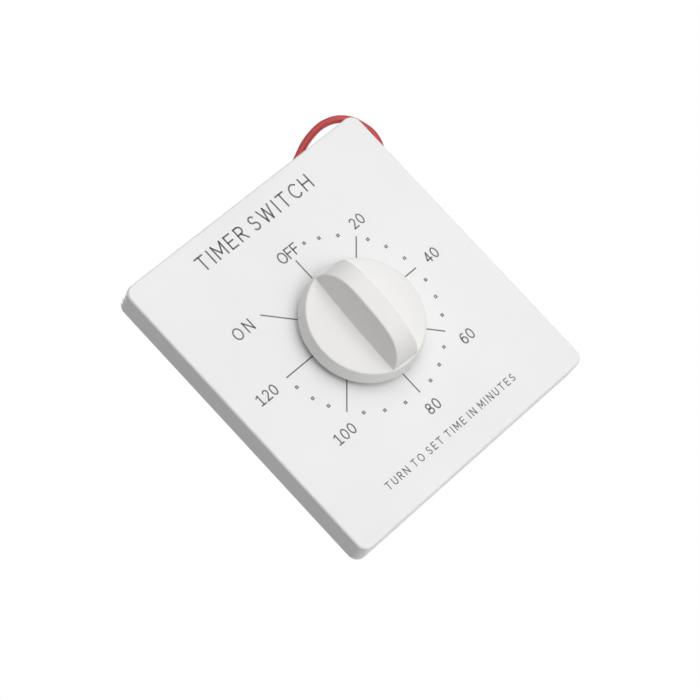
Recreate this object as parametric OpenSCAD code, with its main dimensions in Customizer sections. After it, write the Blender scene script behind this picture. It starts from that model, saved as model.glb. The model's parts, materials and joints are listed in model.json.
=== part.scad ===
// Mechanical wall timer switch: cover plate, knob, spring-driven movement, contacts and leads.
// Every piece is drawn facing up: x to the right, y up the wall, z away from the wall,
// with z = 0 on the wall and x = y = 0 on the knob's shaft. upright() then stands it on the wall.

/* [Cover plate] */
// Width of the cover plate
plate_w = 86; // [84:0.5:96]
// Height of the cover plate
plate_h = 90; // [86:0.5:100]
// Height of the cover's front face above the wall
plate_depth = 8; // [7:0.5:11]
// Radius of the corners seen from the front
plate_corner = 3; // [2.5:0.5:8]
// Rounding of the front edge
plate_edge = 0.7; // [0.5:0.1:1.5]
// Wall thickness of the cover
plate_wall = 2.2; // [1.6:0.1:2.4]
// Gap between the cover's rim and the wall
cover_lift = 0.2; // [0.1:0.1:0.5]
// Radius of the hole that the knob's hub turns in
cover_hole_r = 5.9; // [5.5:0.1:8]

/* [Mounting frame] */
// Thickness of the frame's flat base
frame_t = 2.4; // [2:0.1:3]
// Thickness of the frame's raised rim
frame_rim_t = 1.6; // [1.2:0.1:2.5]
// Height of the frame's rim above the wall
frame_rim_h = 4.6; // [4:0.1:4.7]
// Clearance between the frame and the cover's inside
frame_fit = 0.2; // [0.1:0.05:0.4]
// Distance between the two wall-box screws
box_pitch = 60.3; // [60:0.1:61]
// Width of the slots for the wall-box screws
slot_w = 4.4; // [4.2:0.1:5]
// End-to-end length of the slots
slot_len = 8; // [6:0.5:8]
// Length of each snap lug along the cover's wall
lug_len = 10; // [6:0.5:16]
// Distance of the snap lugs from the plate's middle
lug_x = 24; // [16:1:30]

/* [Knob] */
// Radius of the knob at its underside
knob_r = 17; // [15:0.25:22]
// Radius of the knob at the top of its rim
knob_top_r = 16.35; // [14.4:0.05:21]
// Gap between the cover's front face and the knob
knob_gap = 2; // [1:0.1:3]
// Height of the knob's rim
knob_rim_h = 4.6; // [3.6:0.1:7]
// How far the knob's top dips in the middle
knob_dish = 0.5; // [0.2:0.1:0.8]
// Rounding of the rim's top edge
knob_round = 0.5; // [0.2:0.1:0.8]
// Height of the grip above the rim
grip_h = 8.55; // [6:0.05:12]
// Half width of the grip where it meets the rim's level
grip_half_base = 4.3; // [3.8:0.1:5.5]
// Half width of the grip at its crest
grip_half_top = 2.8; // [2:0.1:3.5]
// How far the grip's ends stay inside the rim's top edge
grip_inset = 0.8; // [0.4:0.05:2]
// Radius of the hub that takes the shaft
hub_r = 5.1; // [4.4:0.1:5.2]
// Wall thickness of the knob's skirt and top
knob_wall = 2; // [1.4:0.1:2.6]

/* [Turning] */
// Turn from OFF back to the hold position, in degrees
hold_turn = 45; // [30:5:60]
// Turn from OFF to the longest time, in degrees
timed_turn = 270; // [240:5:270]
// How far past OFF the knob stands at rest, clockwise, in degrees
rest_turn = 3; // [0:3:6]

/* [Main shaft] */
// Radius of the main shaft
shaft_r = 3; // [2.6:0.1:3.2]
// Depth of the flat on the shaft
shaft_flat = 0.5; // [0.4:0.05:0.7]
// Radius of the shaft's rear end
shaft_rear_r = 2; // [1.8:0.1:2.3]
// How far the shaft reaches above the cover's front face
shaft_out = 11; // [9:0.5:13]
// Radial running clearance of the shaft and the arbors
running_fit = 0.05; // [0.03:0.01:0.08]
// Thickness of the knob's flat spring clip
clip_t = 0.35; // [0.25:0.05:0.45]

/* [Movement] */
// Width and height of the movement plates
movement_w = 52; // [51:0.5:54]
// Thickness of the movement plates
movement_t = 1.2; // [1:0.1:1.6]
// Distance of the pillars from the plates' edges
pillar_inset = 3.5; // [3.2:0.1:4]
// Radius of the pillars
pillar_r = 2.5; // [2.2:0.1:2.8]
// Radius of the pillars' studs and of the movement screws
stud_r = 1.5; // [1.2:0.1:1.6]
// Room behind the rearmost wheel
rear_room = 1.5; // [1:0.1:3]

/* [Mainspring] */
// Width of the mainspring's strip
spring_w = 4; // [3:0.25:5]
// Thickness of the mainspring's strip
spring_t = 0.35; // [0.2:0.05:0.5]
// Turns of the mainspring
spring_turns = 5; // [4:1:6]
// Radius of the mainspring's outer turn
spring_r = 10.75; // [10:0.05:10.9]
// Radius of the post that holds the mainspring's outer end
post_r = 1; // [0.8:0.05:1.2]

/* [Wheel train] */
// Teeth of the great wheel and of the second wheel
slow_teeth = 48; // [46:1:50]
// Leaves of the second and third pinions
slow_leaves = 8; // [8:1:9]
// Teeth of the third wheel and of the fourth wheel
fast_teeth = 60; // [58:1:61]
// Leaves of the fourth and escape pinions
fast_leaves = 9; // [8:1:9]
// Module of the great wheel
great_m = 0.5; // [0.48:0.01:0.52]
// Module of the second wheel
second_m = 0.4; // [0.39:0.01:0.42]
// Module of the third wheel
third_m = 0.3; // [0.29:0.005:0.31]
// Module of the fourth wheel
fourth_m = 0.25; // [0.24:0.005:0.26]
// Thickness of the great wheel and of the ratchet wheel
great_t = 1; // [0.8:0.1:1.2]
// Thickness of the smaller wheels
wheel_t = 0.7; // [0.5:0.1:1]
// Radius of the second arbor
arbor_r = 0.8; // [0.7:0.05:0.9]
// Radius of the arbors' pivots
pivot_r = 0.45; // [0.35:0.05:0.55]

/* [Ratchet] */
// Teeth of the ratchet wheel
ratchet_teeth = 18; // [16:1:20]
// Radius of the ratchet wheel's tips
ratchet_r = 6.4; // [6.2:0.1:6.6]
// Depth of the ratchet teeth
ratchet_depth = 0.9; // [0.7:0.05:1]
// Distance of the click's pivot from the shaft
click_pivot = 9.2; // [9:0.1:9.4]

/* [Escapement] */
// Teeth of the escape wheel
escape_teeth = 15; // [14:1:16]
// Radius of the escape wheel's tips
escape_r = 5; // [4.8:0.1:5.1]
// Radius of the pallet pins
pin_r = 0.25; // [0.2:0.05:0.3]
// Clearance of the pallet pins past the tips at mid swing
pin_gap = 0.12; // [0.08:0.01:0.2]
// Outer radius of the balance ring
balance_r = 6.2; // [5.8:0.1:6.3]
// Width of the balance ring's section
balance_w = 1.5; // [1.2:0.1:1.8]
// Thickness of the balance ring
balance_t = 2; // [1.4:0.1:2.2]
// Turns of the hairspring
hair_turns = 4; // [3:1:5]
// Radius of the hairspring's outer turn
hair_r = 4; // [3.8:0.1:4.4]
// Thickness of the hairspring's strip
hair_t = 0.14; // [0.1:0.02:0.18]

/* [Contacts] */
// Base radius of the contact cam
cam_r = 5.3; // [5:0.1:5.6]
// Lift of the cam's lobe
cam_lift = 0.85; // [0.6:0.05:1]
// Thickness of the contact cam
cam_t = 3; // [2.5:0.1:3.4]
// Width of the contact leaves
leaf_w = 4; // [3.6:0.1:4.4]
// Thickness of the contact leaves
leaf_t = 0.4; // [0.3:0.05:0.5]
// Distance of the contacts from the terminal block's leg, along the leaves
contact_inset = 3.4; // [2.9:0.1:3.9]
// Radius of the contact rivets
contact_r = 1.6; // [1.2:0.1:1.8]
// Opening between the contacts at OFF
contact_gap = 0.8; // [0.5:0.05:1.2]
// How far the terminal screws' heads stay inside the sides of the movement plates
head_margin = 0.1; // [0:0.1:0.5]
// Depth of the terminal block
block_d = 8; // [7.4:0.1:10]
// Width of the terminal block's legs
leg_w = 8.6; // [8:0.1:9]
// Radius of the terminal screws
terminal_r = 1.5; // [1.3:0.1:1.6]
// Thickness of the ring terminals
tongue_t = 0.8; // [0.6:0.1:1]
// Radius of the ring terminals' crimped barrels
barrel_r = 1.6; // [1.4:0.05:1.7]
// Length of the crimped barrels
barrel_len = 4.6; // [3.6:0.1:5]

/* [Leads] */
// Outer diameter of a lead
lead_d = 2.2; // [1.8:0.1:2.4]
// Diameter of the bare conductor at a lead's end
core_d = 1.4; // [1:0.1:1.6]
// Length of the stripped end
strip_len = 8; // [5:1:12]

/* [Hidden] */
$fn = 64;
seat_gap = 0.01;
steps = 24;
axial_gap = 0.15;
level_gap = 0.45;
cut = 1;

// Levels between the movement plates, measured back from the front plate's inner face
collar_u = axial_gap;
collar_t = 0.8;
collar_r = 4.6;
stop_u = collar_u + collar_t;
stop_t = 1;
spring_u = stop_u + stop_t + level_gap;
ratchet_u = spring_u + spring_w + 0.6;
great_u = ratchet_u + great_t + 0.3;
great_end = great_u + great_t;
clip_u = great_end + 0.05;
clip_ring_t = 0.5;
second_u = great_end + 1.2;
third_u = second_u + wheel_t + 0.9;
fourth_u = third_u + wheel_t + 1;
movement_gap = fourth_u + wheel_t + rear_room;
escape_u = stop_u + stop_t + 0.25;
anchor_u = escape_u + wheel_t + 0.3;
anchor_t = 0.8;
balance_u = anchor_u + anchor_t + 0.5;
hair_u = balance_u + balance_t + 1.9;
hair_w = 0.5;

// Heights above the wall
front_inner_z = -movement_t;
rear_inner_z = front_inner_z - movement_gap;
rear_outer_z = rear_inner_z - movement_t;
knob_z = plate_depth + knob_gap;
rim_z = knob_z + knob_rim_h;
crest_z = rim_z + grip_h;
hub_z = plate_depth - plate_wall + 0.6;
clip_w = 3;
clip_len = 8;
shaft_top_z = plate_depth + shaft_out;
flat_x = shaft_r - shaft_flat;
arch_flat = 3.5;
arch_fall = 0.55;
rear_flat_x = shaft_rear_r - shaft_flat;

// Pillars and the outlines that follow the cover's inside
pillar_at = movement_w / 2 - pillar_inset;
screw_reach = 6;
screw_head_t = 1.7;
nut_t = 2.2;
stud_end_z = rear_outer_z - nut_t - 0.4;
inner_w = plate_w - 2 * plate_wall;
inner_h = plate_h - 2 * plate_wall;
inner_corner = plate_corner - plate_wall;
frame_w = inner_w - 2 * frame_fit;
frame_h = inner_h - 2 * frame_fit;
lug_out = 1.2;
bush_r = shaft_r + 1.2;
bush_pad = 2.4;
rear_bush_r = shaft_rear_r + 1.2;
stop_angle = 90;
stop_at = 7.6;
stop_post_r = 1.4;
stop_post_angle = stop_angle + (hold_turn + 360 - timed_turn) / 2;
stop_half = stop_at * sin((360 - hold_turn - timed_turn) / 2) - stop_post_r - running_fit;

// Places of the arbors round the shaft
great_r = slow_teeth * great_m / 2;
small_arbor_r = arbor_r - 0.15;
second_dist = (slow_teeth + slow_leaves) * great_m / 2;
third_dist = (slow_teeth + slow_leaves) * second_m / 2;
fourth_dist = (fast_teeth + fast_leaves) * third_m / 2;
escape_dist = (fast_teeth + fast_leaves) * fourth_m / 2;
pin_orbit = escape_r + pin_r + pin_gap;
pin_span = 3.5 * 180 / escape_teeth;
pallet_dist = pin_orbit / cos(pin_span);
pallet_arm = pin_orbit * tan(pin_span);
third_at = great_r + great_m + small_arbor_r + 1.35;
escape_at = spring_r + escape_r + 0.75;
balance_at = spring_r + balance_r + 1.05;
second_angle = 200;
third_angle = second_angle + apart(second_dist, third_at, third_dist);
fourth_angle = third_angle + apart(third_at, third_at, fourth_dist);
escape_angle = fourth_angle + apart(third_at, escape_at, escape_dist);
balance_angle = escape_angle + apart(escape_at, balance_at, pallet_dist);
second_pos = polar(second_dist, second_angle);
third_pos = polar(third_at, third_angle);
fourth_pos = polar(third_at, fourth_angle);
escape_pos = polar(escape_at, escape_angle);
balance_pos = polar(balance_at, balance_angle);

// Tooth angles that put each pinion in mesh with its wheel
second_turn = mesh(-rest_turn, slow_teeth, slow_leaves, second_angle);
third_turn = mesh(0, slow_teeth, slow_leaves, heading(second_pos, third_pos));
fourth_turn = mesh(0, fast_teeth, fast_leaves, heading(third_pos, fourth_pos));
escape_turn = mesh(0, fast_teeth, fast_leaves, heading(fourth_pos, escape_pos));
pallet_heading = heading(escape_pos, balance_pos);
escape_wheel_turn = pallet_heading + pin_span + 270 / escape_teeth;

// Spring ends, the ratchet's click and the mainspring's post
spring_start_r = shaft_r + spring_t / 2 + 0.07;
post_angle = 100;
post_at = spring_r + post_r + 0.1 + spring_t / 2;
hair_start_r = 1.3;
hair_angle = 60;
hair_stud_r = 0.5;
hair_stud_at = hair_r + hair_stud_r + hair_t / 2 + 0.05;
click_gap = 0.08;
click_angle = 92;
click_face = 2 * 360 / ratchet_teeth;
click_back = polar(ratchet_r + 1.2, click_face + 1);
click_neck = polar(click_pivot + 1, click_angle - 4);
click_t = great_t - 0.1;
click_pin_r = 0.8;
click_spring_t = 0.25;

// Contact parts on the back of the rear plate
leaf_z = rear_outer_z - 1.2 - leaf_w / 2;
cam_z = leaf_z - cam_t / 2;
follower_r = 0.9;
leaf_y = cam_r + cam_lift + running_fit + follower_r - 0.2;
rivet_head = 0.45;
rivet_tip = 0.7;
lobe_half = 14;
lobe_foot = 32;
fixed_y = leaf_y - 2 * rivet_tip - contact_gap - leaf_t;
tongue_x = movement_w / 2 - head_margin - screw_head_t - tongue_t;
block_half = tongue_x - leaf_t;
leg_x = block_half - leg_w;
contact_x = leg_x - contact_inset;
base_gap = 2.5;
base_top = -cam_r - cam_lift - base_gap;
base_h = 6;
block_back_z = rear_outer_z - block_d;
block_screw_r = 1.25;
block_head_t = 1.5;
block_screw_x = 10;
block_screw_y = base_top - base_h / 2;
tongue_r = terminal_r + 1.5;
terminal_drop = [5.4, 5.8];
terminal_reach = 5.5;
terminal_y = [leaf_y - terminal_drop[0], fixed_y - terminal_drop[1]];
terminal_turn = [180, 0];
tongue_w = 2.8;
tab_h = 9;
barrel_reach = tongue_r + 0.4;
barrel_end = barrel_reach + barrel_len;
barrel_x = tongue_x + barrel_r + 0.1;
circlip_z = cam_z - 0.8;
circlip_t = 0.5;
shaft_end_z = circlip_z - 0.6;

// Route of the right lead, whose loop shows past the cover's upper right corner
right_exit = [barrel_x, terminal_y[1] + barrel_end, leaf_z];
right_route = [right_exit, right_exit + [0, 4.5, 0], [25.8, 15.6, -21.1], [28, 19.8, -19.8],
    [31.4, 23.2, -17.8], [35.4, 25.8, -15.3], [39.6, 27.8, -12.6], [43.6, 29.6, -10],
    [47.4, 31.8, -7.6], [50.1, 35.2, -5.9], [51, 39.2, -5.1], [50.3, 43, -5], [48.6, 46.4, -5],
    [45.4, 48.9, -5], [41.2, 50, -5], [36.8, 49.7, -5], [32.5, 48.6, -5], [28.3, 46.8, -5],
    [24.2, 45, -5.3], [19.9, 43.4, -6], [15.4, 42.3, -7], [10.8, 41.8, -8], [6.2, 41.6, -9],
    [1.6, 41.5, -10], [-3, 41.4, -11], [-7.6, 41.2, -12], [-12.2, 41, -13]];
// Route of the left lead, which passes below the movement and up its right side
left_exit = [-barrel_x, terminal_y[0] - barrel_end, leaf_z];
left_route = [left_exit, left_exit - [0, 4.5, 0], [-26, -15.6, -22], [-27.4, -20.2, -22.2],
    [-27.4, -25, -21.6], [-25.6, -29.4, -20.2], [-22, -32.8, -18.6], [-17.6, -35.2, -16.8],
    [-12.8, -36.6, -15.2], [-7.8, -37.2, -14], [-2.8, -37.4, -13], [2.2, -37.4, -12.4],
    [7.2, -37.2, -12], [12.2, -36.6, -12], [17.1, -35.5, -12], [21.8, -33.7, -12],
    [26.2, -31.3, -12], [30.1, -28.2, -12], [33.4, -24.4, -12], [36, -20.1, -12],
    [37.8, -15.4, -12], [38.7, -10.5, -12], [39, -5.5, -12], [39, -0.5, -12]];

function polar(r, a) = [r * cos(a), r * sin(a)];
function heading(p, q) = atan2(q[1] - p[1], q[0] - p[0]);
function apart(ra, rb, d) = acos((ra * ra + rb * rb - d * d) / (2 * ra * rb));
function unit(v) = v / norm(v);

// Tooth angle of a pinion that meets a wheel's tooth, seen along the line between the centres
function mesh(wheel_turn, teeth, leaves, line) =
    let (off = (line - wheel_turn) % (360 / teeth))
    line + 180 + off * teeth / leaves + 180 / leaves;

// Outline of a wheel or pinion: half widths are shares of the pitch, from root to tip
function toothed(n, m, turn, add, ded, root, half, mid, tip) =
    let (pitch = 360 / n, r = n * m / 2)
    [for (i = [0 : n - 1]) let (a = turn + i * pitch)
        each [polar(r - ded * m, a - root * pitch), polar(r, a - half * pitch),
            polar(r + 0.6 * add * m, a - mid * pitch), polar(r + add * m, a - tip * pitch),
            polar(r + add * m, a + tip * pitch), polar(r + 0.6 * add * m, a + mid * pitch),
            polar(r, a + half * pitch), polar(r - ded * m, a + root * pitch)]];
function wheel_teeth(n, m, turn) = toothed(n, m, turn, 1, 1.2, 0.25, 0.22, 0.155, 0.055);
function pinion_leaves(n, m, turn) = toothed(n, m, turn, 0.7, 1.35, 0.17, 0.195, 0.165, 0.065);

// Flat spiral, offset sideways by shift, and the strip between its two edges
function spiral(r0, r1, turns, end_angle, shift) = [for (k = [0 : steps * turns])
    polar(r0 + (r1 - r0) * k / (steps * turns) + shift,
        end_angle - 360 * turns + 360 * k / steps)];
function backwards(p) = [for (k = [len(p) - 1 : -1 : 0]) p[k]];
function strip(r0, r1, turns, end_angle, t) =
    concat(spiral(r0, r1, turns, end_angle, t / 2),
        backwards(spiral(r0, r1, turns, end_angle, -t / 2)));

// Least gap of a wound strip to itself, measured between points at least half a turn apart
function least_gap(p, t) = min([for (i = [0 : len(p) - 1 - steps / 2])
    for (j = [i + steps / 2 : len(p) - 1]) norm(p[j] - p[i])]) - t;

// Point on a curve that leaves a towards b and arrives at c
function bend(a, b, c, s) = (1 - s) * (1 - s) * a + 2 * s * (1 - s) * b + s * s * c;

// Frame directions carried along a route without twist
function next_side(u, t) = unit(u - (u * t) * t);
function route_dir(p, i) =
    i == 0 ? unit(p[1] - p[0]) :
    i == len(p) - 1 ? unit(p[i] - p[i - 1]) :
    unit(unit(p[i + 1] - p[i]) + unit(p[i] - p[i - 1]));
function sides_along(p, i, u) =
    let (v = next_side(u, route_dir(p, i)))
    i == len(p) - 1 ? [v] : concat([v], sides_along(p, i + 1, v));

echo(mainspring_gap = least_gap(
    spiral(spring_start_r, spring_r, spring_turns, post_angle, 0), spring_t));
echo(hairspring_gap = least_gap(spiral(hair_start_r, hair_r, hair_turns, hair_angle, 0), hair_t));

module upright() {
    rotate([90, 0, 0]) children();
}

// A disc of thickness t whose front face lies at level u behind the front plate
module at_level(u, t) {
    translate([0, 0, front_inner_z - u - t]) children();
}

module shaft_turned() {
    rotate([0, 0, -rest_turn]) children();
}

module rounded_rect(w, h, r) {
    square([w - 2 * r, h], center = true);
    square([w, h - 2 * r], center = true);
    for (x = [-1, 1], y = [-1, 1]) translate([x * (w / 2 - r), y * (h / 2 - r)]) circle(r);
}

// Half section of a slab whose front edge is rounded
module edge_section(span, depth, edge) {
    translate([-span / 2, 0]) square([span, depth - edge]);
    translate([edge - span / 2, 0]) square([span - 2 * edge, depth]);
    for (x = [-1, 1]) translate([x * (span / 2 - edge), depth - edge]) circle(edge);
}

// Slab with rounded corners and a rounded front edge
module soft_slab(w, h, depth, corner, edge) {
    for (x = [-1, 1], y = [-1, 1]) translate([x * (w / 2 - corner), y * (h / 2 - corner), 0])
        rotate_extrude() {
            square([corner, depth - edge]);
            square([corner - edge, depth]);
            translate([corner - edge, depth - edge]) intersection() {
                circle(edge);
                square(edge);
            }
        }
    translate([corner - w / 2, 0, 0]) rotate([90, 0, 90])
        linear_extrude(w - 2 * corner) edge_section(h, depth, edge);
    translate([0, h / 2 - corner, 0]) rotate([90, 0, 0])
        linear_extrude(h - 2 * corner) edge_section(w, depth, edge);
}

// Snap lugs stand on the cover's upper and lower walls and sit in notches of the frame
module lug_places() {
    for (x = [-1, 1], y = [-1, 1]) translate([x * lug_x, y * inner_h / 2, 0]) children();
}

module cover_plate() {
    cavity_h = plate_depth - plate_wall - cover_lift;
    color("white") upright() {
        difference() {
            translate([0, 0, cover_lift])
                soft_slab(plate_w, plate_h, plate_depth - cover_lift, plate_corner, plate_edge);
            translate([0, 0, cover_lift - cut])
                linear_extrude(cavity_h + cut) rounded_rect(inner_w, inner_h, inner_corner);
            cylinder(r = cover_hole_r, h = plate_depth + cut);
        }
        lug_places() translate([0, 0, 0.7])
            cube([lug_len, 2 * lug_out, 1], center = true);
    }
}

module box_slot(extra) {
    width = slot_w + 2 * extra;
    run = slot_len - slot_w;
    for (x = [-1, 1]) translate([x * box_pitch / 2, 0, 0]) {
        translate([-run / 2, -width / 2, -cut]) cube([run, width, plate_depth]);
        for (s = [-1, 1]) translate([s * run / 2, 0, -cut]) cylinder(r = width / 2, h = plate_depth);
    }
}

module at_pillars() {
    for (x = [-1, 1], y = [-1, 1]) translate([x * pillar_at, y * pillar_at, 0]) children();
}

module mounting_frame() {
    rim_in_w = frame_w - 2 * frame_rim_t;
    rim_in_h = frame_h - 2 * frame_rim_t;
    frame_corner = 1.4;
    pad = 1.6;
    pad_h = 0.8;
    color("whitesmoke") upright() difference() {
        union() {
            difference() {
                linear_extrude(frame_rim_h) rounded_rect(frame_w, frame_h, frame_corner);
                translate([0, 0, frame_t])
                    linear_extrude(frame_rim_h) rounded_rect(rim_in_w, rim_in_h, 0.8);
            }
            intersection() {
                translate([0, 0, frame_t / 2])
                    linear_extrude(frame_t / 2 + pad_h) square(frame_w - 2, center = true);
                box_slot(pad);
            }
            translate([0, 0, frame_t / 2]) cylinder(r = bush_r + bush_pad, h = frame_t / 2 + pad_h);
        }
        box_slot(0);
        translate([0, 0, -cut]) cylinder(r = bush_r + 0.4, h = plate_depth);
        at_pillars() translate([0, 0, -cut]) cylinder(r = stud_r + 0.15, h = plate_depth);
        lug_places() translate([0, 0, 0.5])
            cube([lug_len + 1, 2 * (lug_out + frame_fit), 2], center = true);
    }
}

// Half outline of the knob, from its underside pocket over the rim to the dished top
module knob_section() {
    top = [for (k = [0 : 8]) let (r = (knob_top_r - knob_round) * k / 8)
        [r, rim_z - knob_dish * (1 - pow(r / knob_top_r, 2))]];
    edge = [for (a = [80 : -20 : 0])
        [knob_top_r - knob_round + knob_round * cos(a), rim_z - knob_round + knob_round * sin(a)]];
    polygon(concat(top, edge, [[knob_r, knob_z + 0.3], [knob_r - 0.3, knob_z], [knob_r - knob_wall, knob_z],
        [knob_r - knob_wall - 0.2, rim_z - knob_wall], [hub_r, rim_z - knob_wall],
        [hub_r, hub_z], [0, hub_z]]));
}

// Side outline of the grip: an arch, flat in the middle, whose ends fall to the rim
module grip_side() {
    reach = knob_top_r - grip_inset;
    arch = [for (k = [-24 : 24]) let (s = sin(k * 90 / 24))
        [s * reach, rim_z - 0.3 + (grip_h + 0.3) * pow(max(0, 1 - pow(abs(s), arch_flat)), arch_fall)]];
    polygon(concat([[-reach, rim_z - knob_wall]], arch, [[reach, rim_z - knob_wall]]));
}

// Cross section of the grip: drafted sides and a rounded crest
module grip_across() {
    draft = (grip_half_base - grip_half_top) / grip_h;
    round_r = 0.9;
    low = grip_half_base + draft * knob_wall;
    crest = [for (a = [0 : 15 : 90])
        [grip_half_top - round_r + round_r * cos(a), crest_z - round_r + round_r * sin(a)]];
    mirrored = [for (k = [len(crest) - 1 : -1 : 0]) [-crest[k][0], crest[k][1]]];
    polygon(concat([[low, rim_z - knob_wall]], crest, mirrored, [[-low, rim_z - knob_wall]]));
}

// Round bore with one flat, for the shaft's flat side
module d_bore(r, flat, h) {
    difference() {
        cylinder(r = r, h = h);
        translate([flat, -r - cut, -cut]) cube([2 * r, 2 * r + 2 * cut, h + 2 * cut]);
    }
}

module knob() {
    color("ivory") upright() shaft_turned() difference() {
        union() {
            rotate_extrude() knob_section();
            intersection() {
                translate([-knob_r, 0, 0]) rotate([90, 0, 90])
                    linear_extrude(2 * knob_r) grip_side();
                translate([0, knob_r, 0]) rotate([90, 0, 0])
                    linear_extrude(2 * knob_r) grip_across();
            }
        }
        translate([0, 0, -cut])
            d_bore(shaft_r + 0.02, flat_x + seat_gap, shaft_top_z + cut + 0.2);
        translate([flat_x - cut, -clip_w / 2 - 0.05, hub_z - cut])
            cube([clip_t + 0.06 + cut, clip_w + 0.1, clip_len + cut + 0.1]);
    }
}

module knob_spring_clip() {
    foot_len = 1.6;
    color("gainsboro") upright() shaft_turned() translate([flat_x + 0.02, -clip_w / 2, hub_z]) {
        cube([clip_t, clip_w, clip_len]);
        translate([0, 0, -clip_t]) cube([foot_len, clip_w, clip_t]);
    }
}

module main_shaft() {
    step_z = front_inner_z - clip_u - clip_ring_t - 0.15;
    flat_end_z = front_inner_z - great_u + 0.15;
    color("silver") upright() shaft_turned() difference() {
        union() {
            difference() {
                translate([0, 0, step_z]) cylinder(r = shaft_r, h = shaft_top_z - step_z);
                translate([flat_x, -shaft_r, flat_end_z])
                    cube([shaft_r, 2 * shaft_r, shaft_top_z - flat_end_z + cut]);
            }
            at_level(collar_u, collar_t) cylinder(r = collar_r, h = collar_t);
            difference() {
                translate([0, 0, shaft_end_z]) cylinder(r = shaft_rear_r, h = step_z - shaft_end_z);
                translate([rear_flat_x, -shaft_r, shaft_end_z - cut])
                    cube([shaft_r, 2 * shaft_r, cam_z + cam_t - shaft_end_z + cut]);
            }
        }
        groove(shaft_r - 0.5, shaft_r + cut, front_inner_z - clip_u - clip_ring_t, clip_ring_t);
        groove(shaft_rear_r - 0.5, shaft_rear_r + cut, circlip_z, circlip_t);
    }
}

module groove(r_in, r_out, z, h) {
    translate([0, 0, z]) difference() {
        cylinder(r = r_out, h = h);
        translate([0, 0, -cut]) cylinder(r = r_in, h = h + 2 * cut);
    }
}

// Open retaining ring that sits in a groove of the shaft
module open_ring(r_in, r_out, z, h) {
    translate([0, 0, z]) difference() {
        cylinder(r = r_out, h = h);
        translate([0, 0, -cut]) cylinder(r = r_in, h = h + 2 * cut);
        translate([0, -r_in * 0.8, -cut]) cube([r_out + cut, r_in * 1.6, h + 2 * cut]);
    }
}

module great_wheel_clip() {
    color("dimgray") upright() shaft_turned() open_ring(shaft_r - 0.5 + seat_gap, shaft_r + 1.3,
        front_inner_z - clip_u - clip_ring_t + seat_gap, clip_ring_t - 2 * seat_gap);
}

module shaft_circlip() {
    color("dimgray") upright() shaft_turned() open_ring(shaft_rear_r - 0.5 + seat_gap,
        shaft_rear_r + 1.6, circlip_z + seat_gap, circlip_t - 2 * seat_gap);
}

module bush(bore, outer, z0, z1) {
    translate([0, 0, z0]) difference() {
        cylinder(r = outer, h = z1 - z0);
        translate([0, 0, -cut]) cylinder(r = bore, h = z1 - z0 + 2 * cut);
    }
}

module front_bush() {
    color("goldenrod") upright()
        bush(shaft_r + running_fit, bush_r, front_inner_z, frame_t - 0.2);
}

module rear_bush() {
    color("goldenrod") upright()
        bush(shaft_rear_r + running_fit, rear_bush_r, rear_outer_z - 0.4, rear_inner_z + 0.3);
}

// Plate of the movement with the bush's hole, the pivots' holes and four pillar holes
module movement_plate(z, bush_hole, pillar_hole) {
    translate([0, 0, z]) difference() {
        linear_extrude(movement_t) rounded_rect(movement_w, movement_w, pillar_inset);
        translate([0, 0, -cut]) cylinder(r = bush_hole, h = movement_t + 2 * cut);
        at_pillars() translate([0, 0, -cut]) cylinder(r = pillar_hole, h = movement_t + 2 * cut);
        for (p = [second_pos, third_pos, fourth_pos, escape_pos, balance_pos])
            translate([p[0], p[1], -cut]) cylinder(r = pivot_r + running_fit, h = movement_t + 2 * cut);
        translate([0, 0, -cut]) children();
    }
}

module front_movement_plate() {
    color("lightsteelblue") upright()
        movement_plate(front_inner_z, bush_r + seat_gap, stud_r + 0.1) {
            at_polar(stop_at, stop_post_angle) cylinder(r = 0.9, h = movement_t + 2 * cut);
            at_polar(post_at, post_angle) cylinder(r = 0.7, h = movement_t + 2 * cut);
        }
}

module rear_movement_plate() {
    stud = balance_pos + polar(hair_stud_at, hair_angle);
    color("lightsteelblue") upright()
        movement_plate(rear_outer_z, rear_bush_r + seat_gap, stud_r + 0.1) {
            for (x = [-1, 1]) translate([x * block_screw_x, block_screw_y, 0])
                cylinder(r = block_screw_r + seat_gap, h = movement_t + 2 * cut);
            translate([stud[0], stud[1], 0])
                cylinder(r = hair_stud_r + seat_gap, h = movement_t + 2 * cut);
        }
}

module at_polar(r, a) {
    p = polar(r, a);
    translate([p[0], p[1], 0]) children();
}

module frame_pillars() {
    thread = screw_reach + 1;
    color("silver") upright() at_pillars() {
        difference() {
            translate([0, 0, rear_inner_z]) cylinder(r = pillar_r, h = movement_gap);
            translate([0, 0, front_inner_z - thread])
                cylinder(r = stud_r + seat_gap, h = thread + cut);
        }
        translate([0, 0, stud_end_z]) cylinder(r = stud_r, h = rear_inner_z - stud_end_z + 0.01);
    }
}

module pillar_nuts() {
    color("gainsboro") upright() at_pillars() translate([0, 0, rear_outer_z - nut_t]) difference() {
        cylinder(r = stud_r * 2.1, h = nut_t, $fn = 6);
        translate([0, 0, -cut]) cylinder(r = stud_r + seat_gap, h = nut_t + 2 * cut);
    }
}

// Pan-headed screw along z: its shank runs down from the head's seat at z = 0
module screw(shank_r, shank_len, head_r, head_t) {
    translate([0, 0, -shank_len]) cylinder(r = shank_r, h = shank_len + 0.01);
    difference() {
        rotate_extrude() intersection() {
            translate([0, head_t - 2 * head_r]) circle(2 * head_r);
            square([head_r, head_t]);
        }
        translate([-head_r, -0.4, head_t - 0.9]) cube([2 * head_r, 0.8, 1]);
    }
}

module movement_screws() {
    color("silver") upright() at_pillars() translate([0, 0, frame_t])
        screw(stud_r, frame_t + movement_t + screw_reach, stud_r * 1.85, screw_head_t);
}

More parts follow.
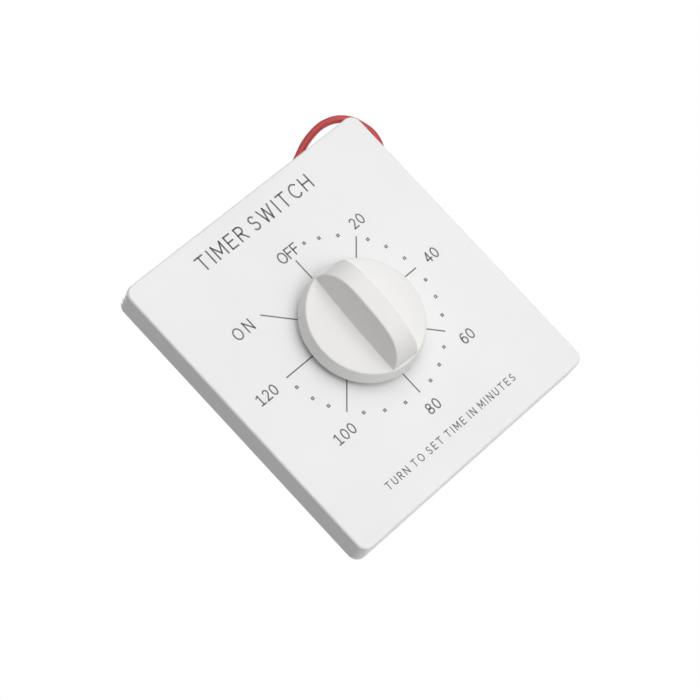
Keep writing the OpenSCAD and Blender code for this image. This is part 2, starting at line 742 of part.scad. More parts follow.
module stop_washer() {
    tab_r = stop_at + 0.8;
    color("silver") upright() shaft_turned() at_level(stop_u, stop_t) difference() {
        union() {
            cylinder(r = collar_r + 0.6, h = stop_t);
            rotate([0, 0, stop_angle]) translate([0, -stop_half, 0]) cube([tab_r, 2 * stop_half, stop_t]);
        }
        translate([0, 0, -cut]) d_bore(shaft_r + seat_gap, flat_x + seat_gap, stop_t + 2 * cut);
    }
}

module stop_post() {
    post_len = stop_u + stop_t + 0.2;
    color("silver") upright() at_polar(stop_at, stop_post_angle) {
        translate([0, 0, front_inner_z - post_len]) cylinder(r = stop_post_r, h = post_len);
        translate([0, 0, front_inner_z - 0.01])
            cylinder(r = 0.9 - seat_gap, h = movement_t - 0.1);
    }
}

module mainspring() {
    color("slategray") upright() at_level(spring_u, spring_w) difference() {
        union() {
            linear_extrude(spring_w)
                polygon(strip(spring_start_r, spring_r, spring_turns, post_angle, spring_t));
            at_polar(post_at, post_angle) cylinder(r = post_r + 0.1 + spring_t, h = spring_w);
        }
        at_polar(post_at, post_angle) translate([0, 0, -cut])
            cylinder(r = post_r + 0.1, h = spring_w + 2 * cut);
    }
}

module mainspring_post() {
    post_len = spring_u + spring_w + 0.2;
    color("silver") upright() at_polar(post_at, post_angle) {
        translate([0, 0, front_inner_z - post_len]) cylinder(r = post_r, h = post_len);
        translate([0, 0, front_inner_z - 0.01]) cylinder(r = 0.7 - seat_gap, h = movement_t - 0.1);
    }
}

// Ratchet teeth rise counter-clockwise and drop steeply, so they drive when the spring runs down
module ratchet_wheel() {
    step = 360 / ratchet_teeth;
    color("silver") upright() shaft_turned() at_level(ratchet_u, great_t) difference() {
        linear_extrude(great_t) polygon([for (i = [0 : ratchet_teeth - 1])
            each [polar(ratchet_r - ratchet_depth, i * step + 0.5),
                polar(ratchet_r, (i + 0.95) * step)]]);
        translate([0, 0, -cut]) d_bore(shaft_r + seat_gap, flat_x + seat_gap, great_t + 2 * cut);
    }
}

// Windows between the arms of a wheel
module windows(r_in, r_out, arms, arm_w, t) {
    translate([0, 0, -cut]) difference() {
        cylinder(r = r_out, h = t + 2 * cut);
        translate([0, 0, -cut]) cylinder(r = r_in, h = t + 4 * cut);
        for (i = [0 : arms - 1]) rotate([0, 0, i * 360 / arms])
            translate([0, -arm_w / 2, -cut]) cube([r_out + cut, arm_w, t + 4 * cut]);
    }
}

module great_wheel() {
    color("gold") upright() shaft_turned() at_level(great_u, great_t) difference() {
        linear_extrude(great_t) polygon(wheel_teeth(slow_teeth, great_m, 0));
        translate([0, 0, -cut]) cylinder(r = shaft_r + running_fit, h = great_t + 2 * cut);
        at_polar(click_pivot, click_angle) translate([0, 0, -cut])
            cylinder(r = click_pin_r + seat_gap, h = great_t + 2 * cut);
        for (a = [150 : 50 : 400]) at_polar(click_pivot - 1.6, a) translate([0, 0, -cut])
            cylinder(r = 2.2, h = great_t + 2 * cut);
    }
}

module click_rivet() {
    head_t = 0.35;
    color("silver") upright() shaft_turned() at_polar(click_pivot, click_angle) {
        translate([0, 0, front_inner_z - great_end])
            cylinder(r = click_pin_r, h = great_end - ratchet_u + 0.1);
        translate([0, 0, front_inner_z - ratchet_u + 0.1]) cylinder(r = 1.5, h = head_t);
    }
}

// Pawl whose nose rests behind a steep face of the ratchet wheel
module click() {
    tip_lag = 0.05 * 360 / ratchet_teeth;
    root = ratchet_r - ratchet_depth;
    slack = click_gap / root * 180 / PI;
    color("darkgray") upright() shaft_turned() at_level(ratchet_u + 0.05, click_t) difference() {
        union() {
            linear_extrude(click_t) polygon([polar(root + 0.28, click_face + 0.5 + slack),
                polar(ratchet_r + 0.05, click_face - tip_lag + 0.3 + slack), click_back,
                click_neck, polar(click_pivot - 1.5, click_angle - 6),
                polar(ratchet_r + 0.3, click_face + 13), polar(root + 0.45, click_face + 5)]);
            at_polar(click_pivot, click_angle) cylinder(r = 1.7, h = click_t);
        }
        at_polar(click_pivot, click_angle) translate([0, 0, -cut])
            cylinder(r = click_pin_r + running_fit, h = click_t + 2 * cut);
    }
}

// Leaf spring from a pin on the great wheel, which arrives along the click's back
module click_spring() {
    t = great_t - 0.4;
    along = unit(click_neck - click_back);
    off = (click_spring_t / 2 + 0.03) * [along[1], -along[0]];
    foot = polar(click_pivot + 1.2, 12);
    line = [for (k = [0 : 10]) bend(foot, click_back - 2.6 * along + off,
        click_back + 1.6 * along + off, k / 10)];
    normal = function (k) let (d = unit(line[min(k + 1, 10)] - line[max(k - 1, 0)]))
        click_spring_t / 2 * [d[1], -d[0]];
    color("lightgray") upright() shaft_turned() at_level(ratchet_u + 0.2, t) {
        linear_extrude(t) polygon(concat([for (k = [0 : 10]) line[k] + normal(k)],
            [for (k = [10 : -1 : 0]) line[k] - normal(k)]));
        translate([foot[0], foot[1], -0.5]) cylinder(r = 0.7, h = t + 0.5);
    }
}

// Arbor with a pivot at each end and a cut pinion
module arbor(pos, r, leaves, m, turn, u0, u1) {
    translate([pos[0], pos[1], 0]) {
        translate([0, 0, rear_inner_z + axial_gap])
            cylinder(r = r, h = movement_gap - 2 * axial_gap);
        translate([0, 0, rear_outer_z + 0.1])
            cylinder(r = pivot_r, h = movement_gap + 2 * movement_t - 0.2);
        at_level(u0, u1 - u0) linear_extrude(u1 - u0) polygon(pinion_leaves(leaves, m, turn));
    }
}

module second_arbor() {
    color("silver") upright()
        arbor(second_pos, arbor_r, slow_leaves, great_m, second_turn, great_u - 0.4, great_end + 0.6);
}

module third_arbor() {
    color("silver") upright() arbor(third_pos, small_arbor_r, slow_leaves, second_m, third_turn,
        second_u - 0.35, second_u + wheel_t + 0.35);
}

module fourth_arbor() {
    color("silver") upright() arbor(fourth_pos, small_arbor_r, fast_leaves, third_m, fourth_turn,
        third_u - 0.3, third_u + wheel_t + 0.3);
}

module escape_arbor() {
    color("silver") upright() arbor(escape_pos, small_arbor_r, fast_leaves, fourth_m, escape_turn,
        fourth_u - 0.3, fourth_u + wheel_t + 0.3);
}

// Spoked wheel pressed on its arbor
module train_wheel(pos, teeth, m, bore, u) {
    rim = teeth * m / 2 - 1.2 * m - 0.9;
    translate([pos[0], pos[1], 0]) at_level(u, wheel_t) difference() {
        linear_extrude(wheel_t) polygon(wheel_teeth(teeth, m, 0));
        translate([0, 0, -cut]) cylinder(r = bore + seat_gap, h = wheel_t + 2 * cut);
        windows(bore + 1.3, rim, 4, 1.1, wheel_t);
    }
}

module second_wheel() {
    color("gold") upright() train_wheel(second_pos, slow_teeth, second_m, arbor_r, second_u);
}

module third_wheel() {
    color("gold") upright() train_wheel(third_pos, fast_teeth, third_m, small_arbor_r, third_u);
}

module fourth_wheel() {
    color("gold") upright() train_wheel(fourth_pos, fast_teeth, fourth_m, small_arbor_r, fourth_u);
}

module escape_wheel() {
    step = 360 / escape_teeth;
    root = escape_r - 1.4;
    color("gold") upright() translate([escape_pos[0], escape_pos[1], 0])
        at_level(escape_u, wheel_t) difference() {
            linear_extrude(wheel_t) polygon([for (i = [0 : escape_teeth - 1])
                let (a = escape_wheel_turn + i * step)
                each [polar(root, a - 5), polar(escape_r, a - 0.9), polar(escape_r, a + 0.9),
                    polar(root, a + 5)]]);
            translate([0, 0, -cut])
                cylinder(r = small_arbor_r + seat_gap, h = wheel_t + 2 * cut);
            windows(small_arbor_r + 0.8, root - 0.6, 3, 0.8, wheel_t);
        }
}

module at_balance() {
    translate([balance_pos[0], balance_pos[1], 0]) children();
}

module balance_staff() {
    color("silver") upright() at_balance() {
        translate([0, 0, rear_inner_z + axial_gap])
            cylinder(r = small_arbor_r, h = movement_gap - 2 * axial_gap);
        translate([0, 0, rear_outer_z + 0.1])
            cylinder(r = pivot_r, h = movement_gap + 2 * movement_t - 0.2);
        at_level(hair_u - 0.2, hair_w + 0.4) cylinder(r = hair_start_r - hair_t, h = hair_w + 0.4);
    }
}

// Anchor with two steel pins that drop in turn between the escape wheel's teeth
module pallet_anchor() {
    arm_w = 1.1;
    sink = 0.3;
    color("silver") upright() at_balance() rotate([0, 0, pallet_heading + 180]) {
        at_level(anchor_u, anchor_t) linear_extrude(anchor_t) difference() {
            union() {
                circle(1.6);
                for (s = [-1, 1]) rotate(s * (90 - pin_span)) {
                    translate([0, -arm_w / 2]) square([pallet_arm, arm_w]);
                    translate([pallet_arm, 0]) circle(arm_w / 2 + 0.1);
                }
            }
            circle(small_arbor_r + seat_gap);
        }
        for (s = [-1, 1]) rotate([0, 0, s * (90 - pin_span)])
            translate([pallet_arm, 0, front_inner_z - anchor_u - sink])
                cylinder(r = pin_r, h = anchor_u + sink - escape_u + 0.2);
    }
}

module balance_wheel() {
    color("goldenrod") upright() at_balance() rotate([0, 0, pallet_heading + 90])
        at_level(balance_u, balance_t) difference() {
            union() {
                difference() {
                    cylinder(r = balance_r, h = balance_t);
                    translate([0, 0, -cut])
                        cylinder(r = balance_r - balance_w, h = balance_t + 2 * cut);
                }
                translate([0.3 - balance_r, -0.6, 0.5]) cube([2 * balance_r - 0.6, 1.2, 1]);
                translate([0, 0, 0.3]) cylinder(r = 1.6, h = balance_t - 0.6);
            }
            translate([0, 0, -cut])
                cylinder(r = small_arbor_r + seat_gap, h = balance_t + 2 * cut);
        }
}

module hairspring() {
    color("steelblue") upright() at_balance() at_level(hair_u, hair_w)
        linear_extrude(hair_w)
            polygon(strip(hair_start_r, hair_r, hair_turns, hair_angle, hair_t));
}

module hairspring_stud() {
    stud_len = rear_inner_z - (front_inner_z - hair_u + 0.3);
    color("goldenrod") upright() at_balance() at_polar(hair_stud_at, hair_angle)
        translate([0, 0, rear_outer_z + 0.1])
            cylinder(r = hair_stud_r, h = movement_t - 0.1 - stud_len);
}

// Cam outline: round, with one lobe that stands under the follower at OFF
module contact_cam() {
    lift = function (d) d < lobe_half ? 1 : d > lobe_foot ? 0 :
        0.5 + 0.5 * cos((d - lobe_half) * 180 / (lobe_foot - lobe_half));
    color("cornsilk") upright() shaft_turned() translate([0, 0, cam_z]) difference() {
        linear_extrude(cam_t) polygon([for (a = [0 : 4 : 356])
            polar(cam_r + cam_lift * lift(abs(a - 90 > 180 ? a - 450 : a - 90)), a)]);
        translate([0, 0, -cut]) d_bore(shaft_rear_r + seat_gap, rear_flat_x + seat_gap, cam_t + 2 * cut);
    }
}

// U-shaped block behind the rear plate: a base under the cam and a leg on each side
module terminal_block() {
    leg_top = [leaf_y, fixed_y];
    color("saddlebrown") upright() translate([0, 0, block_back_z]) difference() {
        union() {
            translate([-block_half, base_top - base_h, 0]) cube([2 * block_half, base_h, block_d]);
            for (i = [0, 1]) translate([i == 0 ? -block_half : leg_x, base_top - base_h, 0])
                cube([leg_w, leg_top[i] - base_top + base_h, block_d]);
        }
        for (x = [-1, 1]) translate([x * block_screw_x, block_screw_y, -cut])
            cylinder(r = block_screw_r + 0.1, h = block_d + 2 * cut);
        for (i = [0, 1]) translate([0, terminal_y[i], leaf_z - block_back_z])
            rotate([0, 0, terminal_turn[i]]) translate([leg_x + 1, 0, 0])
                rotate([0, 90, 0]) cylinder(r = terminal_r + seat_gap, h = leg_w);
    }
}

module block_screws() {
    color("silver") upright() for (x = [-1, 1])
        translate([x * block_screw_x, block_screw_y, block_back_z]) rotate([180, 0, 0])
            screw(block_screw_r, block_d + movement_t - 0.1, block_screw_r * 1.85, block_head_t);
}

// Leaf along x at height y, bent down the outer side of its leg, with a hole for the screw
module contact_leaf(tip_x, y, hole_y) {
    difference() {
        union() {
            translate([tip_x, y, leaf_z - leaf_w / 2])
                cube([block_half + leaf_t - tip_x, leaf_t, leaf_w]);
            translate([block_half, y - tab_h, leaf_z - leaf_w / 2 - 0.8])
                cube([leaf_t, tab_h + leaf_t, leaf_w + 1.6]);
        }
        translate([block_half - cut, hole_y, leaf_z]) rotate([0, 90, 0])
            cylinder(r = terminal_r + 0.1, h = leaf_t + 2 * cut);
    }
}

module moving_leaf() {
    color("gold") upright() {
        difference() {
            mirror([1, 0, 0]) contact_leaf(-contact_x - contact_r - 0.4, leaf_y, terminal_y[0]);
            translate([contact_x, leaf_y - cut, leaf_z]) rotate([-90, 0, 0])
                cylinder(r = contact_r / 2 + seat_gap, h = leaf_t + 2 * cut);
        }
        difference() {
            translate([0, leaf_y + 0.2, leaf_z - leaf_w / 2]) cylinder(r = follower_r, h = leaf_w);
            translate([-follower_r - cut, leaf_y + leaf_t / 2, leaf_z - leaf_w])
                cube([2 * (follower_r + cut), follower_r + cut, 2 * leaf_w]);
        }
    }
}

module fixed_leaf() {
    color("gold") upright() difference() {
        contact_leaf(contact_x - contact_r - 0.4, fixed_y, terminal_y[1]);
        translate([contact_x, fixed_y - cut, leaf_z]) rotate([-90, 0, 0])
            cylinder(r = contact_r / 2 + seat_gap, h = leaf_t + 2 * cut);
    }
}

// Contact rivet through a leaf: its tip looks along +z, the leaf's face is at z = 0
module contact_rivet() {
    rotate_extrude() intersection() {
        translate([0, rivet_tip - 3 * contact_r]) circle(3 * contact_r);
        square([contact_r, rivet_tip]);
    }
    translate([0, 0, -leaf_t - rivet_head]) cylinder(r = contact_r * 0.7, h = rivet_head);
    translate([0, 0, -leaf_t - 0.01]) cylinder(r = contact_r / 2, h = leaf_t + 0.02);
}

module moving_contact() {
    color("lightgray") upright() translate([contact_x, leaf_y, leaf_z]) rotate([90, 0, 0]) contact_rivet();
}

module fixed_contact() {
    color("lightgray") upright() translate([contact_x, fixed_y + leaf_t, leaf_z])
        rotate([-90, 0, 0]) contact_rivet();
}

// Places on the outer side of the left leg and then of the right leg, looking outwards along z
module at_terminal(i, out) {
    translate([0, terminal_y[i], leaf_z]) rotate([0, 0, terminal_turn[i]])
        translate([out, 0, 0]) rotate([0, 90, 0]) children();
}

module terminal_screws() {
    color("silver") upright() for (i = [0, 1]) at_terminal(i, tongue_x + tongue_t)
        screw(terminal_r, leaf_t + tongue_t + terminal_reach, tongue_r - 0.3, screw_head_t);
}

// Ring terminal under the screw's head, with the barrel that is crimped on the lead
module ring_terminals() {
    color("lightgray") upright() for (i = [0, 1]) at_terminal(i, tongue_x) {
        difference() {
            union() {
                cylinder(r = tongue_r, h = tongue_t);
                translate([-tongue_w / 2, 0, 0]) cube([tongue_w, barrel_reach + 0.3, tongue_t]);
            }
            translate([0, 0, -cut]) cylinder(r = terminal_r + 0.1, h = tongue_t + 2 * cut);
        }
        translate([0, barrel_reach, barrel_r + 0.1]) rotate([-90, 0, 0])
            cylinder(r = barrel_r, h = barrel_len);
    }
}

// Unbroken tube along a route, with a ring of corners at every point
module swept(route, d) {
    n = 8;
    last = len(route) - 1;
    u = sides_along(route, 0, [0, 0, 1]);
    pts = [for (i = [0 : last]) let (t = route_dir(route, i), v = cross(t, u[i]))
        for (k = [0 : n - 1]) route[i] + d / 2 * (cos(360 * k / n) * u[i] + sin(360 * k / n) * v)];
    walls = [for (i = [0 : last - 1], k = [0 : n - 1]) let (a = i * n + k, b = i * n + (k + 1) % n)
        each [[a, a + n, b + n], [a, b + n, b]]];
    caps = [for (k = [1 : n - 2]) each [[0, k, k + 1], [last * n, last * n + k + 1, last * n + k]]];
    polyhedron(points = pts, faces = concat(walls, caps));
}

module right_lead() {
    color("red") upright() swept(right_route, lead_d);
}

module left_lead() {
    color("red") upright() swept(left_route, lead_d);
}

module bare_end(route) {
    last = len(route) - 1;
    d = unit(route[last] - route[last - 1]);
    translate(route[last]) rotate([0, acos(d[2]), atan2(d[1], d[0])])
        cylinder(r = core_d / 2, h = strip_len);
}

module bare_wire_ends() {
    color("peru") upright() {
        bare_end(right_route);
        bare_end(left_route);
    }
}

cover_plate();
mounting_frame();
knob();
knob_spring_clip();
main_shaft();
front_bush();
rear_bush();
front_movement_plate();
rear_movement_plate();
frame_pillars();
pillar_nuts();
movement_screws();
stop_washer();
stop_post();
mainspring();
mainspring_post();
ratchet_wheel();
great_wheel();
great_wheel_clip();
click();
click_rivet();
click_spring();
second_arbor();
second_wheel();
third_arbor();
third_wheel();
fourth_arbor();
fourth_wheel();
escape_arbor();
escape_wheel();
balance_staff();
pallet_anchor();
balance_wheel();
hairspring();
hairspring_stud();
contact_cam();
shaft_circlip();
terminal_block();
block_screws();
moving_leaf();
fixed_leaf();
moving_contact();
fixed_contact();
terminal_screws();
ring_terminals();
right_lead();
left_lead();
bare_wire_ends();
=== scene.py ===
import json
import math
import bmesh
import bpy
import numpy as np
from mathutils import Matrix, Vector


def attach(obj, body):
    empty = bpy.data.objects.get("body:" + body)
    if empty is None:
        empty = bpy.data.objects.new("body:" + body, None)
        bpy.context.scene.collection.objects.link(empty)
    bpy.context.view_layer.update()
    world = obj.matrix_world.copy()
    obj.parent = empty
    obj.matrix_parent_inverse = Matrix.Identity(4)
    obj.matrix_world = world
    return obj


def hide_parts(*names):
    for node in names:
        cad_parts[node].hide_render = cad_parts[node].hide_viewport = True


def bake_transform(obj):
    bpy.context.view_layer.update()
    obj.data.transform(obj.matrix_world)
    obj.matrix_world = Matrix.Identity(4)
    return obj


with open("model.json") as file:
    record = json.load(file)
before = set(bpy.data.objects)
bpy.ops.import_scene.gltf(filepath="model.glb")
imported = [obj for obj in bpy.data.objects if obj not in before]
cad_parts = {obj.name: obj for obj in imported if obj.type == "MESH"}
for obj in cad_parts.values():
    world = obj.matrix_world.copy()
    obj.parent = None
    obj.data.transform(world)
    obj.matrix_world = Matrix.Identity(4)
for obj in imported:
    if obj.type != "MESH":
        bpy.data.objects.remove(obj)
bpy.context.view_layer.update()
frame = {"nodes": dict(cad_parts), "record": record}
nodes = frame["nodes"]
print("stage: frame loaded,", len(nodes), "nodes")

# Pieces are worked out facing up in millimetres: x right, y up the wall, z out of the wall.
# The model stands on the wall, so (x, y, z) becomes (x, -z, y) in metres.


def onWall(points):
    p = np.asarray(points, float)
    return np.stack([p[..., 0], -p[..., 2], p[..., 1]], -1) / 1000.0


# Camera at the photograph's angle, from its measured place and axes
camera = {
    "lens": 142.3,
    "place": (-0.3426, -0.6292, -0.0733),
    "right": (0.6754, -0.2887, -0.6786),
    "up": (0.5656, -0.3877, 0.7278),
    "sensor": 36.0,
    "nearest": 0.01,        # metres from which it sees
}
camData = bpy.data.cameras.new("studioCamera")
camData.lens = camera["lens"]
camData.sensor_width = camera["sensor"]
camData.clip_start = camera["nearest"]
cam = bpy.data.objects.new("studioCamera", camData)
bpy.context.scene.collection.objects.link(cam)
right = Vector(camera["right"]).normalized()
up = Vector(camera["up"])
up = (up - up.dot(right) * right).normalized()
axes = Matrix((right, up, right.cross(up))).transposed()
cam.matrix_world = Matrix.Translation(Vector(camera["place"])) @ axes.to_4x4()
bpy.context.scene.camera = cam


def meshFrom(name, verts, faces, uv=None):
    mesh = bpy.data.meshes.new(name)
    mesh.from_pydata(np.asarray(verts, float).reshape(-1, 3).tolist(), [], faces)
    if uv is not None:
        layer = mesh.uv_layers.new(name="alongPiece")
        index = np.zeros(len(mesh.loops), np.int32)
        mesh.loops.foreach_get("vertex_index", index)
        layer.data.foreach_set("uv", np.asarray(uv, np.float32)[index].ravel())
    mesh.polygons.foreach_set("use_smooth", np.ones(len(mesh.polygons), bool))
    mesh.update()
    piece = bpy.data.objects.new(name, mesh)
    bpy.context.scene.collection.objects.link(piece)
    return piece


# Faces of a grid of rows and columns: each quad joins a point to its neighbours, and a closed
# direction joins its last line to its first. Ends can be capped with one polygon.
def gridFaces(rows, cols, closeRows=False, closeCols=True, caps=(False, False), start=0):
    i = np.arange(rows if closeRows else rows - 1)
    j = np.arange(cols if closeCols else cols - 1)
    a, b = np.meshgrid(i, j, indexing="ij")
    a2, b2 = (a + 1) % rows, (b + 1) % cols
    quads = np.stack([a * cols + b, a * cols + b2, a2 * cols + b2, a2 * cols + b], -1)
    faces = (quads.reshape(-1, 4) + start).tolist()
    if caps[0]:
        faces.append((np.arange(cols)[::-1] + start).tolist())
    if caps[1]:
        faces.append((np.arange(cols) + (rows - 1) * cols + start).tolist())
    return faces


# Leads: the red insulation of a stiff single-core wire, swept along each route
leads = {
    "diameter": 2.2,
    "core": 1.4,
    "strip": 8.0,
    "sides": 24,
    "step": 0.8,            # between the rings along a lead
    "samples": 24,          # of each stretch, before they are spaced evenly
    "overlap": 1.0,         # how far the bare core reaches back into the insulation
    "coreRings": 12,
    "burrLength": 0.15,
    "burr": 0.12,
    "right": [
        (25.1, 6.5, -21.6), (25.1, 11, -21.6), (25.8, 15.6, -21.1), (28, 19.8, -19.8),
        (31.4, 23.2, -17.8), (35.4, 25.8, -15.3), (39.6, 27.8, -12.6), (43.6, 29.6, -10),
        (47.4, 31.8, -7.6), (50.1, 35.2, -5.9), (51, 39.2, -5.1), (50.3, 43, -5),
        (48.6, 46.4, -5), (45.4, 48.9, -5), (41.2, 50, -5), (36.8, 49.7, -5),
        (32.5, 48.6, -5), (28.3, 46.8, -5), (24.2, 45, -5.3), (19.9, 43.4, -6),
        (15.4, 42.3, -7), (10.8, 41.8, -8), (6.2, 41.6, -9), (1.6, 41.5, -10),
        (-3, 41.4, -11), (-7.6, 41.2, -12), (-12.2, 41, -13)],
    "left": [
        (-25.1, -6.5, -21.6), (-25.1, -11, -21.6), (-26, -15.6, -22), (-27.4, -20.2, -22.2),
        (-27.4, -25, -21.6), (-25.6, -29.4, -20.2), (-22, -32.8, -18.6), (-17.6, -35.2, -16.8),
        (-12.8, -36.6, -15.2), (-7.8, -37.2, -14), (-2.8, -37.4, -13), (2.2, -37.4, -12.4),
        (7.2, -37.2, -12), (12.2, -36.6, -12), (17.1, -35.5, -12), (21.8, -33.7, -12),
        (26.2, -31.3, -12), (30.1, -28.2, -12), (33.4, -24.4, -12), (36, -20.1, -12),
        (37.8, -15.4, -12), (38.7, -10.5, -12), (39, -5.5, -12), (39, -0.5, -12)],
}


# Smooth line through points: each stretch is the cubic whose slope at a point is half the
# difference of its neighbours, sampled and then spaced evenly by length
def smoothLine(points, step):
    p = np.asarray(points, float)
    q = np.vstack([2 * p[0] - p[1], p, 2 * p[-1] - p[-2]])
    t = np.linspace(0, 1, leads["samples"] + 1)[:-1][None, :, None]
    a, b, c, d = (q[k:len(q) - 3 + k][:, None, :] for k in range(4))
    dense = 0.5 * (2 * b + (c - a) * t + (2 * a - 5 * b + 4 * c - d) * t**2
                   + (3 * b - a - 3 * c + d) * t**3)
    dense = np.vstack([dense.reshape(-1, 3), p[-1]])
    run = np.concatenate([[0], np.cumsum(np.linalg.norm(np.diff(dense, axis=0), axis=1))])
    even = np.linspace(0, run[-1], max(2, int(round(run[-1] / step))) + 1)
    return np.stack([np.interp(even, run, dense[:, k]) for k in range(3)], 1), run[-1]


# Ring directions carried along a line, turned only as much as the line turns
def carriedFrame(line):
    tangent = np.gradient(line, axis=0)
    tangent /= np.linalg.norm(tangent, axis=1)[:, None]
    side = np.zeros_like(line)
    first = np.cross(tangent[0], [0.0, 0.3, 1.0])       # any direction off the line's own
    side[0] = first / np.linalg.norm(first)
    for k in range(1, len(line)):
        s = side[k - 1] - tangent[k] * np.dot(side[k - 1], tangent[k])
        side[k] = s / np.linalg.norm(s)
    return tangent, side, np.cross(tangent, side)


# Tube: point = line + radius * (cos(angle) * side + sin(angle) * other side)
def tube(name, line, radius, sides):
    tangent, sideA, sideB = carriedFrame(line)
    angle = np.linspace(0, 2 * np.pi, sides, endpoint=False)
    ring = (np.cos(angle)[None, :, None] * sideA[:, None, :]
            + np.sin(angle)[None, :, None] * sideB[:, None, :])
    radii = np.broadcast_to(np.asarray(radius, float), (len(line),))
    points = line[:, None, :] + radii[:, None, None] * ring
    run = np.concatenate([[0], np.cumsum(np.linalg.norm(np.diff(line, axis=0), axis=1))])
    uv = np.stack(np.broadcast_arrays(run[:, None] / 1000, (angle / (2 * np.pi))[None, :]), -1)
    faces = gridFaces(len(line), sides, caps=(True, True))
    return meshFrom(name, onWall(points), faces, uv.reshape(-1, 2))


# Stripped end of a lead: it goes straight on from the insulation, and its cut edge is burred in
def makeCore(side, line):
    ahead = (line[-1] - line[-2]) / np.linalg.norm(line[-1] - line[-2])
    run = np.linspace(-leads["overlap"], leads["strip"] - leads["burrLength"], leads["coreRings"])
    run = np.append(run, leads["strip"])
    radii = np.full(len(run), leads["core"] / 2)
    radii[-1] -= leads["burr"]
    core = tube(side + "BareCore", line[-1] + run[:, None] * ahead, radii, leads["sides"])
    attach(core, "fixed_parts")
    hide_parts("bare_wire_ends")
    return core


leadPieces, corePieces = {}, {}
for side in ("right", "left"):
    line, length = smoothLine(leads[side], leads["step"])
    piece = tube(side + "LeadInsulation", line, leads["diameter"] / 2, leads["sides"])
    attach(piece, "fixed_parts")
    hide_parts(side + "_lead")
    core = makeCore(side, line)
    leadPieces[side], corePieces[side] = piece, core
    print("stage:", side, "lead,", round(length, 1), "mm")


# Colours are sRGB hex and are turned to linear here
def colour(hexCode):
    c = np.array([int(hexCode[k:k + 2], 16) for k in (0, 2, 4)]) / 255.0
    linear = np.where(c <= 0.04045, c / 12.92, ((c + 0.055) / 1.055) ** 2.4)
    return (*linear.tolist(), 1.0)


# Adds a node, sets its properties and inputs, and links sockets given as (node, output)
def addNode(tree, kind, props=None, **inputs):
    new = tree.nodes.new("ShaderNode" + kind)
    for key, value in (props or {}).items():
        setattr(new, key, value)
    for key, value in inputs.items():
        wanted = key.replace("_", " ").lower()
        socket = next(s for s in new.inputs if s.enabled
                      and wanted in (s.name.lower(), s.identifier.replace("_", " ").lower()))
        if isinstance(value, tuple) and len(value) == 2 and isinstance(value[0], bpy.types.Node):
            tree.links.new(value[0].outputs[value[1]], socket)
        else:
            socket.default_value = value
    return new


def newMaterial(name):
    material = bpy.data.materials.new(name)
    material.use_nodes = True
    tree = material.node_tree
    tree.nodes.clear()
    return material, tree


def finishMaterial(tree, shader):
    addNode(tree, "OutputMaterial", Surface=(shader, "BSDF"))


# Ramp between two colours, driven by a pattern
def tint(tree, factor, dark, light, low=0.35, high=0.65):
    ramp = addNode(tree, "ValToRGB", Fac=factor)
    ramp.color_ramp.elements[0].position = low
    ramp.color_ramp.elements[0].color = colour(dark)
    ramp.color_ramp.elements[1].position = high
    ramp.color_ramp.elements[1].color = colour(light)
    return (ramp, "Color")


# Spreads a pattern's 0 to 1 over a roughness range
def spread(tree, factor, low, high):
    ranged = addNode(tree, "MapRange", Value=factor, To_Min=low, To_Max=high)
    return (ranged, "Result")


def stretched(tree, scale):
    place = addNode(tree, "TexCoord")
    return (addNode(tree, "Mapping", Vector=(place, "Object"), Scale=scale), "Vector")


# Noise whose grain is given in millimetres
def grain(tree, size, detail=3.0):
    place = (addNode(tree, "TexCoord"), "Object")
    return (addNode(tree, "TexNoise", Vector=place, Scale=1000.0 / size, Detail=detail), "Fac")


# Sizes of the finishes' patterns in millimetres, and depths of their relief in metres
looks = {
    "mouldedCloud": 34.0, "mouldedGlossDrift": 9.0, "mouldedDepth": 0.00004,
    "workedDepth": 0.00003,
    "pvcRepeats": (60.0, 22.0, 1.0),        # in a metre of lead, and once round it
    "pvcDepth": 0.00004,
    "inkPatches": 0.8,
}


# Injection-moulded plastic: an even colour with faint flow clouding, a spark-eroded skin of fine
# grain that breaks up the gloss, and a roughness that drifts over the surface
def mouldedPlastic(name, dark, light, roughLow, roughHigh, grainSize, bump, ior):
    material, tree = newMaterial(name)
    cloud = grain(tree, looks["mouldedCloud"], 2.0)
    skin = grain(tree, grainSize, 4.0)
    bumpNode = addNode(tree, "Bump", Strength=bump, Distance=looks["mouldedDepth"], Height=skin)
    shader = addNode(tree, "BsdfPrincipled", Base_Color=tint(tree, cloud, dark, light),
                     Roughness=spread(tree, grain(tree, looks["mouldedGlossDrift"]),
                                      roughLow, roughHigh),
                     Normal=(bumpNode, "Normal"), IOR=ior)
    finishMaterial(tree, shader)
    return material


# Metal: fine lines or spangle in the roughness and bump over a clouded colour. The scale counts
# the pattern's repeats in a metre along x, y and z, so a low number draws lines along that axis.
def workedMetal(name, dark, light, roughLow, roughHigh, scale, bump, cloudSize):
    material, tree = newMaterial(name)
    lines = (addNode(tree, "TexNoise", Vector=stretched(tree, scale), Scale=1.0, Detail=3.0), "Fac")
    cloud = grain(tree, cloudSize, 3.0)
    bumpNode = addNode(tree, "Bump", Strength=bump, Distance=looks["workedDepth"], Height=lines)
    shader = addNode(tree, "BsdfPrincipled", Base_Color=tint(tree, cloud, dark, light, 0.3, 0.7),
                     Metallic=1.0, Roughness=spread(tree, lines, roughLow, roughHigh),
                     Normal=(bumpNode, "Normal"))
    finishMaterial(tree, shader)
    return material


